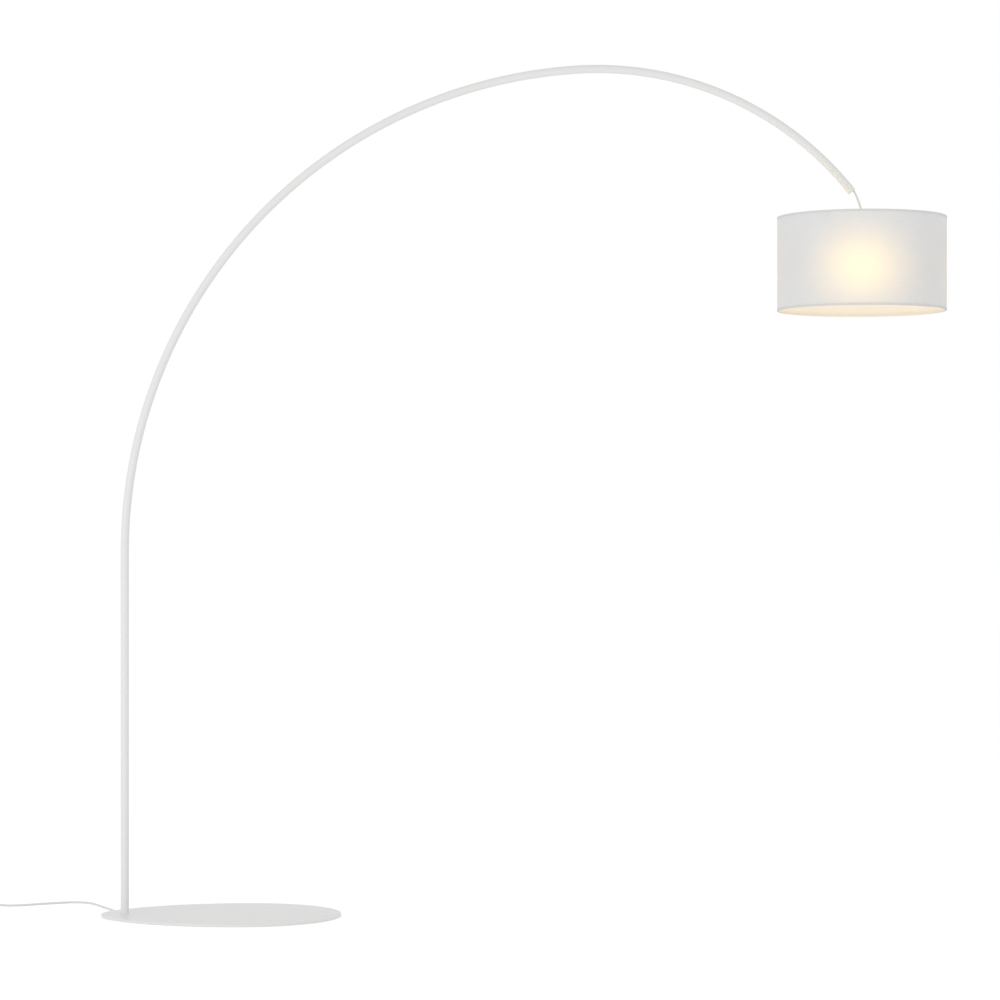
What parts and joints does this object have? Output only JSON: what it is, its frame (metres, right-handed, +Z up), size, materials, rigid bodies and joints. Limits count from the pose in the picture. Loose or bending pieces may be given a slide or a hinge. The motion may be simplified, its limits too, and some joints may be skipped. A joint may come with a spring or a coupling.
{
  "type": "arc floor lamp",
  "caption": "Tall arc floor lamp: a bent steel tube rises from a flat plate and hangs a fabric drum shade over the seat beside it, with a foot switch on its cord.",
  "frame": {"origin": "on the pole's axis, at the floor under the base plate's pads", "axes": "+Z up along the pole, +X along the arch from the pole to the shade, +Y away from the viewer of the front"},
  "size_m": [2.8198, 0.652, 2.271],
  "materials": {
    "white_powder_coat": "satin white powder coat",
    "white_wire": "white epoxy coat on steel wire and sheet",
    "white_screw": "white lacquered steel",
    "zinc_steel": "bright zinc plate",
    "pad_felt": "soft anti-slip rubber",
    "white_plastic": "fine satin moulded plastic",
    "switch_plastic": "semi-gloss moulded plastic",
    "dark_plastic": "black moulded plastic",
    "white_rubber": "soft matte moulding",
    "white_cord": "round smooth sheath",
    "tie_strap": "woven hook-and-loop strap",
    "white_ceramic": "glazed insulating ceramic",
    "nickel_brass": "plain sheet brass",
    "bulb_metal": "thin bright sheet",
    "solder_tip": "soldered contact",
    "plug_metal": "nickel plated brass",
    "frosted_bulb": "opal frosted glass, lit warm",
    "shade_fabric": "off-white linen weave on a clear liner",
    "shade_tape": "off-white woven edge tape"
  },
  "bodies": {
    "stand": {"base_plate": "white_powder_coat", "floor_pads": "pad_felt", "foot_plug": "zinc_steel", "foot_screws": "zinc_steel", "pole_tube": "white_powder_coat", "lower_arch_tube": "white_powder_coat", "middle_arch_tube": "white_powder_coat", "upper_arch_tube": "white_powder_coat", "pole_spigot": "zinc_steel", "middle_spigot": "zinc_steel", "apex_spigot": "zinc_steel", "joint_screws": "white_screw", "tip_plug": "white_plastic", "inner_cable": "white_cord", "cable_tie": "white_plastic", "switch_base": "switch_plastic", "switch_cover": "switch_plastic", "switch_module": "dark_plastic", "switch_screws": "zinc_steel", "switch_relief_in": "white_rubber", "switch_relief_out": "white_rubber", "floor_cord": "white_cord", "switch_cord": "white_cord", "cord_coil": "white_cord", "coil_tie": "tie_strap", "plug_cord": "white_cord", "plug_body": "switch_plastic", "plug_relief": "white_rubber", "plug_pins": "plug_metal"},
    "pendant_cord": {"pendant_cord": "white_cord"},
    "shade": {"cord_grip": "white_plastic", "grip_screw": "white_plastic", "holder_lead": "white_cord", "holder_cap": "white_plastic", "holder_insert": "white_ceramic", "screw_shell": "nickel_brass", "centre_contact": "nickel_brass", "holder_skirt": "white_plastic", "ring_nut": "white_plastic", "bulb_globe": "frosted_bulb", "bulb_cap": "bulb_metal", "bulb_tip": "solder_tip", "shade_carrier": "white_wire", "shade_bottom_ring": "white_wire", "shade_drum": "shade_fabric", "shade_top_trim": "shade_tape", "shade_bottom_trim": "shade_tape"},
    "switch_button": {"switch_button": "switch_plastic", "switch_plunger": "switch_plastic"}
  },
  "joints": [
    {"name": "cord_side_swing", "type": "hinge", "parent": "stand", "child": "pendant_cord", "pos_m": [1.94377, 0, 1.93544], "axis": [1, 0, 0], "range_deg": [-15, 15]},
    {"name": "shade_swing", "type": "hinge", "parent": "pendant_cord", "child": "shade", "pos_m": [1.96607, 0, 1.86381], "axis": [0, 1, 0], "range_deg": [-20, 20]},
    {"name": "switch_press", "type": "slide", "parent": "stand", "child": "switch_button", "axis": [0, 0, -1], "range_m": [0, 0.003], "stiffness_N_per_m": 600, "springref_m": -0.002}
  ]
}
